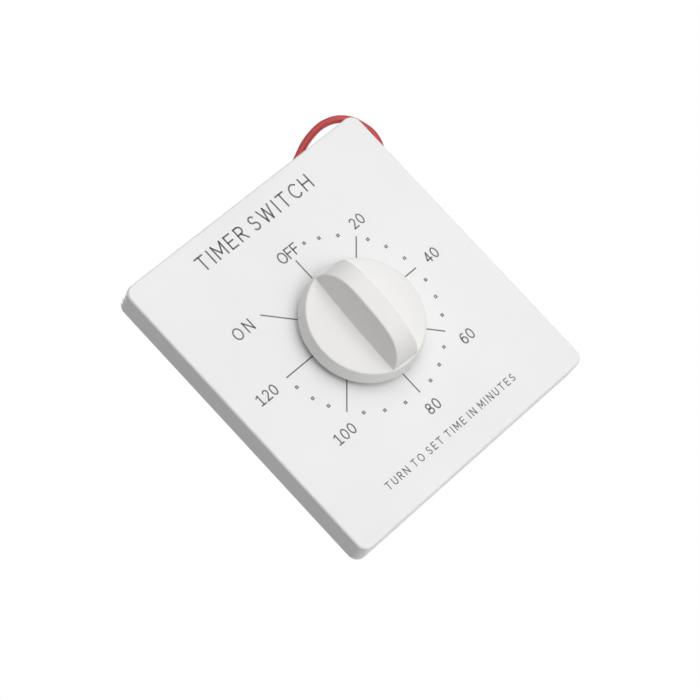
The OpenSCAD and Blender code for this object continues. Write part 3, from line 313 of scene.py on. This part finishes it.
finishes = {
    # ABS cover, moulded white: satin, almost smooth to the eye
    "cover_plastic": mouldedPlastic("mouldedWhiteAbs", "efefef", "f2f2f2",
                                    0.42, 0.5, 0.5, 0.12, 1.54),
    # ABS knob, a warmer white and a little glossier from handling
    "knob_plastic": mouldedPlastic("mouldedWarmWhiteAbs", "e9e8e6", "ecebe9",
                                   0.36, 0.44, 0.6, 0.1, 1.54),
    # Polycarbonate frame, matt: it is only seen from behind
    "frame_plastic": mouldedPlastic("mattPolycarbonate", "dcdcd7", "e4e4df",
                                    0.55, 0.68, 0.7, 0.3, 1.585),
    # Acetal cam, natural cream, waxy
    "cam_plastic": mouldedPlastic("naturalAcetal", "e4ddc6", "ece6d2",
                                  0.34, 0.45, 1.2, 0.1, 1.48),
    # Phenolic block: near black with brown flecks of filler
    "moulded_block": mouldedPlastic("phenolicMoulding", "251812", "3a261b",
                                    0.38, 0.56, 0.9, 0.35, 1.63),
    # Zinc plating, passivated: pale grey with a drifting bluish and yellowish cast
    "plated_steel": workedMetal("zincPlatedSteel", "b4b7ba", "cfcfc8",
                                0.24, 0.4, (900, 900, 2500), 0.12, 9.0),
    # Turned steel: bright, with fine rings along each arbor
    "bright_steel": workedMetal("turnedSteel", "b2b1ae", "c9c8c5",
                                0.18, 0.32, (300, 5200, 300), 0.15, 3.0),
    # Tempered spring steel: dark straw to blue oxide
    "spring_steel": workedMetal("temperedSpringSteel", "4d5361", "7d7b78",
                                0.26, 0.4, (700, 3600, 700), 0.1, 2.5),
    # Brass wheels and bushes: lapped faces
    "brass": workedMetal("lappedBrass", "c9a24f", "dcbb6c",
                         0.2, 0.34, (2600, 600, 2600), 0.1, 4.0),
    # Rolled spring brass: long rolling lines
    "contact_brass": workedMetal("rolledSpringBrass", "c39a4c", "d8b566",
                                 0.22, 0.38, (350, 2600, 2600), 0.15, 6.0),
    # Silver alloy rivets
    "contact_silver": workedMetal("silverContactAlloy", "d6d3cc", "e9e7e2",
                                  0.16, 0.3, (1800, 1800, 1800), 0.1, 2.0),
    # Tinned copper: soft pale metal with dull patches
    "tinned_metal": workedMetal("tinnedCopper", "b3b1ab", "d3d1cb",
                                0.26, 0.42, (1200, 1200, 1200), 0.15, 2.0),
}


# PVC insulation: satin red, drawn along its length, so the faint lines follow the wire
def drawnPvc():
    material, tree = newMaterial("redPvcInsulation")
    along = addNode(tree, "UVMap", {"uv_map": "alongPiece"})
    place = addNode(tree, "Mapping", Vector=(along, "UV"), Scale=looks["pvcRepeats"])
    lines = (addNode(tree, "TexNoise", Vector=(place, "Vector"), Scale=1.0, Detail=2.0), "Fac")
    bumpNode = addNode(tree, "Bump", Strength=0.12, Distance=looks["pvcDepth"], Height=lines)
    shader = addNode(tree, "BsdfPrincipled",
                     Base_Color=tint(tree, lines, "ae2423", "c6302e", 0.3, 0.7),
                     Roughness=spread(tree, lines, 0.3, 0.42), IOR=1.53,
                     Normal=(bumpNode, "Normal"))
    finishMaterial(tree, shader)
    return material


finishes["red_insulation"] = drawnPvc()


# Pad-printed ink: mid grey, matt, slightly uneven in strength
def padPrint():
    material, tree = newMaterial("greyPadPrint")
    shader = addNode(tree, "BsdfPrincipled",
                     Base_Color=tint(tree, grain(tree, looks["inkPatches"]),
                                     "5c5c5d", "666667", 0.3, 0.7),
                     Roughness=0.6, IOR=1.5)
    finishMaterial(tree, shader)
    return material


printInk = padPrint()


def dress(piece, material):
    piece.data.materials.clear()
    piece.data.materials.append(material)


slots = {part["node"]: part["material_slot"] for part in frame["record"]["subparts"]}
for node, slot in slots.items():
    dress(nodes[node], finishes[slot])
for side in leadPieces:
    dress(leadPieces[side], finishes["red_insulation"])
    dress(corePieces[side], finishes["tinned_metal"])
print("stage: finishes on every node")

# Springs that bend between a still foot and a tip that goes along with a moving body: a copy of
# each CAD solid is cut across its bending stretch
bending = {
    "step": 0.5,            # mm between the cuts across a bending stretch
    "crease": 30.0,         # degrees from which an edge stays sharp
    "weld": 1e-6,           # metres within which two points are one
    "springs": {
        # node: new piece, body of the foot, body of the tip, where the bend starts and ends
        "moving_leaf": ("movingLeafBlade", "fixed_parts", "moving_contact_leaf",
                        (-14.4, 0, 0), (-8.4, 0, 0)),
        "click_spring": ("clickSpringBlade", "great_wheel_group", "click_pawl",
                         (9.5, 2.7, 0), (6.5, 4.9, 0)),
    },
}


# The CAD solid's own shape, with its surface cut across where it has to bend
def makeBlade(node, name, footBody, tipBody, start, end):
    mesh = nodes[node].data.copy()
    mesh.name = name
    shape = bmesh.new()
    shape.from_mesh(mesh)
    bmesh.ops.remove_doubles(shape, verts=shape.verts, dist=bending["weld"])
    first, last = Vector(onWall(start)), Vector(onWall(end))
    cuts = int(np.ceil((last - first).length * 1000 / bending["step"]))
    for share in np.linspace(0, 1, cuts + 1):
        bmesh.ops.bisect_plane(shape, geom=shape.verts[:] + shape.edges[:] + shape.faces[:],
                               plane_co=first.lerp(last, share), plane_no=last - first)
    bmesh.ops.triangulate(shape, faces=shape.faces)
    shape.to_mesh(mesh)
    shape.free()
    if "custom_normal" in mesh.attributes:      # they belong to the uncut surface
        mesh.attributes.remove(mesh.attributes["custom_normal"])
    mesh.polygons.foreach_set("use_smooth", np.ones(len(mesh.polygons), bool))
    mesh.set_sharp_from_angle(angle=math.radians(bending["crease"]))
    piece = bpy.data.objects.new(name, mesh)
    bpy.context.scene.collection.objects.link(piece)
    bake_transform(piece)
    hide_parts(node)
    return piece


for node, bend in bending["springs"].items():
    makeBlade(node, *bend)
print("stage: bending springs")

# Knob: a dished disc with a drafted, arched grip across it
knob = {
    "turn": 3.0,            # clockwise past OFF, as it stands at rest
    "under": 10.0,
    "rimTop": 14.6,
    "radius": 17.0,
    "topRadius": 16.35,
    "dish": 0.5,
    "edge": 0.5,
    "skirtRound": 0.3,      # of the skirt's outer lower edge
    "lipRound": 0.2,        # of its inner lower edge, and the slope beside it
    "wall": 2.0,
    "hub": 5.1,
    "hubEnd": 6.4,
    "bore": 3.05,
    "boreDepth": 1.2,       # left over the bore, down from the rim's top
    "pole": 0.05,           # radius of the flat that closes the middle
    "gripLength": 15.55,
    "gripTop": 23.15,
    "gripBase": 4.3,
    "gripCrest": 2.8,
    "gripRound": 0.55,
    "gripSunk": (1.4, 0.3),     # how far under the rim's top its foot and its ends start
    "archPowers": (3.5, 0.55),
    "around": 192,
    "topRings": 20,
    "gripRows": 121,
    "gripSteps": (14, 8, 5),    # up a side, over its round, and on to the middle
    "roundShare": 0.45,         # most of its height that the round takes near its ends
}


def arc(centre, radius, start, end, count):
    a = np.radians(np.linspace(start, end, count))
    return np.stack([centre[0] + radius * np.cos(a), centre[1] + radius * np.sin(a)], 1)


# Turned shape: each profile point (r, z) goes round the axis as (r cos a, r sin a, z)
def turned(profile, around):
    a = np.linspace(0, 2 * np.pi, around, endpoint=False)
    p = np.asarray(profile, float)
    return np.stack([p[:, 0, None] * np.cos(a), p[:, 0, None] * np.sin(a),
                     np.broadcast_to(p[:, 1, None], (len(p), around))], -1)


def spun(points, degrees):
    a = math.radians(degrees)
    turn = np.array([[math.cos(a), -math.sin(a), 0], [math.sin(a), math.cos(a), 0], [0, 0, 1]])
    return points @ turn


# The disc's profile (r, z): dished top, rounded edge, drafted skirt, hollow under, hub and bore
def discProfile():
    k = knob
    edge, skirt, lip, inner = k["edge"], k["skirtRound"], k["lipRound"], k["radius"] - k["wall"]
    ceiling, boreEnd = k["rimTop"] - k["wall"], k["rimTop"] - k["boreDepth"]
    r = np.linspace(k["pole"], k["topRadius"] - edge, k["topRings"])
    top = np.stack([r, k["rimTop"] - k["dish"] * (1 - (r / k["topRadius"]) ** 2)], 1)[:-1]
    return np.vstack([
        top,
        arc((k["topRadius"] - edge, k["rimTop"] - edge), edge, 86, 2, 8),
        arc((k["radius"] - skirt, k["under"] + skirt), skirt, 4, -90, 6),
        arc((inner + lip, k["under"] + lip), lip, -90, -180, 4),
        [(inner - lip, ceiling), (k["hub"], ceiling), (k["hub"], k["hubEnd"] + lip),
         (k["hub"] - lip, k["hubEnd"]), (k["bore"], k["hubEnd"]),
         (k["bore"], boreEnd), (k["pole"], boreEnd)]])


# Grip: across each place y the section climbs a drafted side, rounds over the crest and comes
# down the other side. The crest's height over its ends is (1 - |y / length| ** p) ** q of its
# full height, with arch powers p and q, and the half width shrinks evenly with height.
def gripSections():
    k = knob
    low, base = (k["rimTop"] - sunk for sunk in k["gripSunk"])
    p, q = k["archPowers"]
    y = k["gripLength"] * np.sin(np.linspace(-np.pi / 2, np.pi / 2, k["gripRows"]))
    arch = np.clip(1 - np.abs(y / k["gripLength"]) ** p, 0, None) ** q
    crest = base + (k["gripTop"] - base) * arch
    rise = k["gripTop"] - k["rimTop"]
    sideSteps, roundSteps, flatSteps = k["gripSteps"]

    def halfWidth(z):
        return k["gripBase"] - (k["gripBase"] - k["gripCrest"]) * (z - k["rimTop"]) / rise

    radius = np.minimum(k["gripRound"], k["roundShare"] * (crest - low))
    corner = crest - radius
    rising = np.linspace(0, 1, sideSteps)[:-1]
    z = low + (corner - low)[:, None] * rising[None, :]
    side = np.stack([halfWidth(z), z], -1)
    a = np.radians(np.linspace(0, 90, roundSteps))
    bend = np.stack([(halfWidth(corner) - radius)[:, None] + radius[:, None] * np.cos(a),
                     corner[:, None] + radius[:, None] * np.sin(a)], -1)
    across = np.linspace(0.8, 0, flatSteps)[None, :] * bend[:, -1:, 0]
    flat = np.stack([across, np.broadcast_to(crest[:, None], across.shape)], -1)
    half = np.concatenate([side, bend, flat], 1)
    section = np.concatenate([half, half[:, -2::-1] * np.array([-1, 1])], 1)
    return np.stack([section[..., 0], np.broadcast_to(y[:, None], section.shape[:2]),
                     section[..., 1]], -1)


def makeKnob():
    profile, grip = discProfile(), gripSections()
    disc = turned(profile, knob["around"])[:, ::-1]
    faces = gridFaces(len(profile), knob["around"], caps=(True, True))
    faces += gridFaces(*grip.shape[:2], caps=(True, True), start=disc[..., 0].size)
    points = np.vstack([disc.reshape(-1, 3), grip.reshape(-1, 3)])
    return meshFrom("knobMoulding", onWall(spun(points, knob["turn"])), faces)


knobPiece = makeKnob()
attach(knobPiece, "knob_and_shaft")
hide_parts("knob")
dress(knobPiece, finishes["knob_plastic"])
print("stage: knob")

# Dial print on the cover's face, with its marks as unevenly set as the real print's
dial = {
    "centre": (-0.7, 1.5),
    "face": 8.0,
    "ink": 0.02,            # how far the print stands proud, and how far it reaches in
    "tickWidth": 0.35,
    "tickStart": 14.5,
    "ticks": [
        # clockwise angle, outer end, shift to the right as seen from the centre
        (0, 21.9, 0.17), (45, 24.8, 0.9), (90, 24.8, -0.6), (135, 24.9, -0.85),
        (180, 24.7, -0.45), (225, 24.9, 1.75), (270, 24.8, 0.1), (315, 24.6, -1.0)],
    "dotRadius": 24.85,
    "dotSize": 0.88,
    "dotLine": 0.3,
    "dots": [12.7, 23.1, 35.5, 54.4, 66.4, 79.6, 98.0, 110.1, 122.5, 143.5, 155.9, 168.2,
             190.9, 205.3, 218.7, 240.4, 250.7, 262.1],
    "words": [
        # text, centre, height, line width, overall width
        ("OFF", (-0.8, 26.2), 3.3, 0.4, 6.9), ("20", (20.9, 21.6), 3.15, 0.38, 4.45),
        ("40", (30.3, 2.2), 3.15, 0.38, 4.5), ("60", (21.4, -20.2), 3.15, 0.38, 4.45),
        ("80", (-0.2, -28.2), 3.15, 0.38, 4.45), ("100", (-24.3, -18.9), 3.15, 0.38, 6.9),
        ("120", (-33.0, 1.4), 3.15, 0.38, 6.7), ("ON", (-25.5, 18.1), 3.5, 0.4, 6.4),
        ("TIMER SWITCH", (-1.7, 38.0), 4.4, 0.46, 41.4),
        ("TURN TO SET TIME IN MINUTES", (-1.3, -36.1), 2.2, 0.27, 49.4)],
}


# Part of an oval: x = cx + rx cos a, y = cy + ry sin a
def oval(cx, cy, rx, ry, start=0.0, end=360.0, count=25):
    a = np.radians(np.linspace(start, end, count))
    return np.stack([cx + rx * np.cos(a), cy + ry * np.sin(a)], 1)


def path(*points):
    return np.array(points, float)


# Each sign is its width and its pen strokes, for a height of 1. Strokes that would share a
# corner of their slabs start 0.03 in.
signs = {
    "0": (0.58, [oval(0.29, 0.5, 0.29, 0.5)]),
    "1": (0.56, [path((0.3, 0), (0.3, 1)), path((0.3, 0.97), (0.06, 0.88)),
                 path((0.05, 0), (0.55, 0))]),
    "2": (0.56, [np.vstack([oval(0.27, 0.71, 0.25, 0.29, 150, -28, 14), path((0.03, 0.0))]),
                 path((0.03, 0), (0.56, 0))]),
    "4": (0.62, [path((0.43, 1), (0.43, 0)), path((0.43, 1), (0.02, 0.28)),
                 path((0.02, 0.28), (0.62, 0.28))]),
    "6": (0.58, [oval(0.3, 0.32, 0.27, 0.32), oval(0.37, 0.36, 0.34, 0.64, 178, 66, 14)]),
    "8": (0.58, [oval(0.29, 0.75, 0.23, 0.25), oval(0.29, 0.25, 0.28, 0.25)]),
    "C": (0.66, [oval(0.38, 0.5, 0.38, 0.5, 46, 314, 22)]),
    "E": (0.5, [path((0, 0), (0, 1)), path((0.03, 1), (0.5, 1)), path((0, 0.52), (0.45, 0.52)),
                path((0.03, 0), (0.5, 0))]),
    "F": (0.5, [path((0, 0), (0, 1)), path((0.03, 1), (0.5, 1)), path((0, 0.52), (0.45, 0.52))]),
    "H": (0.64, [path((0, 0), (0, 1)), path((0.64, 0), (0.64, 1)), path((0, 0.52), (0.64, 0.52))]),
    "I": (0.0, [path((0, 0), (0, 1))]),
    "M": (0.76, [path((0, 0), (0, 1)), path((0.76, 0), (0.76, 1)), path((0, 1), (0.38, 0.25)),
                 path((0.38, 0.25), (0.76, 1))]),
    "N": (0.64, [path((0, 0), (0, 1)), path((0.64, 0), (0.64, 1)), path((0, 1), (0.64, 0))]),
    "O": (0.78, [oval(0.39, 0.5, 0.39, 0.5)]),
    "R": (0.56, [path((0, 0), (0, 1)), path((0.03, 1), (0.28, 1)), path((0, 0.48), (0.28, 0.48)),
                 oval(0.28, 0.74, 0.25, 0.26, 90, -90, 12), path((0.26, 0.48), (0.56, 0))]),
    "S": (0.52, [np.vstack([oval(0.26, 0.755, 0.22, 0.245, 32, 270, 16),
                            oval(0.26, 0.255, 0.26, 0.255, 90, -148, 16)[1:]])]),
    "T": (0.66, [path((0, 1), (0.66, 1)), path((0.33, 0), (0.33, 1))]),
    "U": (0.62, [path((0, 0.3), (0, 1)), path((0.62, 0.3), (0.62, 1)),
                 oval(0.31, 0.31, 0.31, 0.31, 180, 360, 14)]),
    "W": (0.98, [path((0, 1), (0.25, 0)), path((0.25, 0), (0.49, 0.95)),
                 path((0.49, 0.95), (0.73, 0)), path((0.73, 0), (0.98, 1))]),
}


# Slab of ink along a pen stroke: each point is set off to both sides, square to the stroke,
# by half the line's width over the cosine of half the turn there, and by the whole at most
def inkStroke(line, width, closed=False):
    if closed:
        before, after = line - np.roll(line, 1, 0), np.roll(line, -1, 0) - line
    else:
        runIn = np.vstack([line[1] - line[0], np.diff(line, axis=0)])
        before, after = runIn, np.vstack([runIn[1:], runIn[-1]])
    before = before / np.linalg.norm(before, axis=1)[:, None]
    after = after / np.linalg.norm(after, axis=1)[:, None]
    along = before + after
    along /= np.linalg.norm(along, axis=1)[:, None]
    side = np.stack([-along[:, 1], along[:, 0]], 1)
    side *= (width / 2 / np.clip((along * before).sum(1), 0.5, 1))[:, None]
    spine = line.copy()
    if not closed:
        spine[0] -= along[0] * width / 2
        spine[-1] += along[-1] * width / 2
    low, high = dial["face"] - dial["ink"], dial["face"] + dial["ink"]
    edges = [(spine + side, high), (spine - side, high), (spine - side, low), (spine + side, low)]
    return np.stack([np.column_stack([p, np.full(len(p), z)]) for p, z in edges], 1)


# Joins strokes, given as (line, width, closed), into one printed piece
def inkPiece(name, strokes):
    points, faces, start = [], [], 0
    for line, width, closed in strokes:
        slab = inkStroke(line, width, closed)
        faces += gridFaces(len(line), 4, closeRows=closed, caps=(not closed,) * 2, start=start)
        points.append(slab.reshape(-1, 3))
        start += slab.shape[0] * 4
    piece = meshFrom(name, onWall(np.vstack(points)), faces)
    piece.data.polygons.foreach_set("use_smooth", np.zeros(len(faces), bool))
    return piece


# Strokes of a word: the signs share the height, and the gaps between them fill up its width
def wordStrokes(text, centre, height, pen, width):
    tall = height - pen
    wide = [signs[c][0] * tall + pen if c != " " else 0.0 for c in text]
    gap = (width - sum(wide)) / (len(text) - 1)
    strokes, x = [], centre[0] - width / 2
    for c, w in zip(text, wide):
        if c != " ":
            for line in signs[c][1]:
                closed = bool(np.allclose(line[0], line[-1]))
                put = line[:-1] if closed else line
                put = put * tall + [x + pen / 2, centre[1] - tall / 2]
                strokes.append((put, pen, closed))
        x += w + gap
    return strokes


def printDial():
    centre = np.array(dial["centre"])
    ticks = []
    for angle, end, shift in dial["ticks"]:
        a = math.radians(angle)
        out, aside = np.array((math.sin(a), math.cos(a))), np.array((math.cos(a), -math.sin(a)))
        ticks.append((centre + shift * aside + np.outer((dial["tickStart"], end), out),
                      dial["tickWidth"], False))
    a = np.radians(dial["dots"])
    places = centre + dial["dotRadius"] * np.stack([np.sin(a), np.cos(a)], 1)
    half = (dial["dotSize"] - dial["dotLine"]) / 2
    square = half * path((-1, -1), (1, -1), (1, 1), (-1, 1))
    pieces = [inkPiece("printTicks", ticks),
              inkPiece("printMinuteMarks", [(square + p, dial["dotLine"], True) for p in places])]
    for text, at, height, pen, width in dial["words"]:
        name = "print" + "".join(w.capitalize() for w in text.split())
        pieces.append(inkPiece(name, wordStrokes(text, at, height, pen, width)))
    for piece in pieces:
        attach(piece, "fixed_parts")
        dress(piece, printInk)


printDial()
print("stage: dial print")

# Studio: a pale floor that shows as white, with soft lamps in front, to the right and behind
studio = {
    "floorDrop": 0.5,
    "floorSize": 8.0,
    "floorShade": "e6e6e6",
    "floorGlow": 0.8,       # added where it is seen directly
    "worldLight": 0.237,
    "lamps": [
        # name, place, aim, width, height, watts
        ("frontPanel", (0.15, -1.1, 0.1), (0, 0, 0), 1.3, 2.0, 9.8),
        ("lowPanel", (0.05, -0.85, -0.42), (0, 0, 0), 0.6, 0.3, 1.3),
        ("sidePanel", (0.8, -0.6, 0.5), (0, 0, 0), 0.4, 0.4, 0.7),
        ("rearPanel", (0.5, 1.2, 0.5), (0, 0, 0), 1.0, 1.0, 8.0)],
}


# Links outputs to a node's inputs, in their order
def feed(tree, target, *sources):
    for source, socket in zip(sources, target.inputs):
        tree.links.new(source, socket)
    return target


# 1 for what the camera, gloss and glass see directly, 0 for the light that falls on things
def seenDirectly(tree):
    rays = addNode(tree, "LightPath").outputs
    seen = feed(tree, addNode(tree, "Math", {"operation": "MAXIMUM"}),
                rays["Is Camera Ray"], rays["Is Glossy Ray"])
    return feed(tree, addNode(tree, "Math", {"operation": "MAXIMUM"}),
                seen.outputs[0], rays["Is Transmission Ray"])


# Paper that looks white where it is seen directly, shadow kept, and otherwise reflects light
def whiteWhereSeen(name, shade, glow):
    material, tree = newMaterial(name)
    seen = seenDirectly(tree)
    paper = addNode(tree, "BsdfDiffuse", Color=colour(shade))
    light = addNode(tree, "Emission", Color=(1, 1, 1, 1), Strength=glow)
    both = feed(tree, addNode(tree, "AddShader"), paper.outputs[0], light.outputs[0])
    mix = feed(tree, addNode(tree, "MixShader"), seen.outputs[0], paper.outputs[0], both.outputs[0])
    addNode(tree, "OutputMaterial", Surface=(mix, 0))
    return material


def makeStudio():
    half = studio["floorSize"] / 2
    drop = -studio["floorDrop"]
    floor = meshFrom("studioFloor", [(-half, -half, drop), (half, -half, drop), (half, half, drop),
                                     (-half, half, drop)], [(0, 1, 2, 3)])
    dress(floor, whiteWhereSeen("paleFloor", studio["floorShade"], studio["floorGlow"]))
    world = bpy.data.worlds.new("studioWorld")
    bpy.context.scene.world = world
    world.use_nodes = True
    tree = world.node_tree
    tree.nodes.clear()
    strength = addNode(tree, "MapRange", Value=(seenDirectly(tree), 0),
                       To_Min=studio["worldLight"], To_Max=1.0)
    sky = addNode(tree, "Background", Color=(1, 1, 1, 1), Strength=(strength, "Result"))
    addNode(tree, "OutputWorld", Surface=(sky, 0))
    for name, place, aim, width, height, watts in studio["lamps"]:
        lamp = bpy.data.lights.new(name, "AREA")
        lamp.shape = "ELLIPSE"
        lamp.size, lamp.size_y = width, height
        lamp.energy = watts
        holder = bpy.data.objects.new(name, lamp)
        bpy.context.scene.collection.objects.link(holder)
        holder.visible_camera = False
        holder.location = place
        holder.rotation_euler = (Vector(aim) - Vector(place)).to_track_quat("-Z", "Y").to_euler()


makeStudio()
bpy.context.scene.view_settings.view_transform = "Standard"
print("stage: studio")
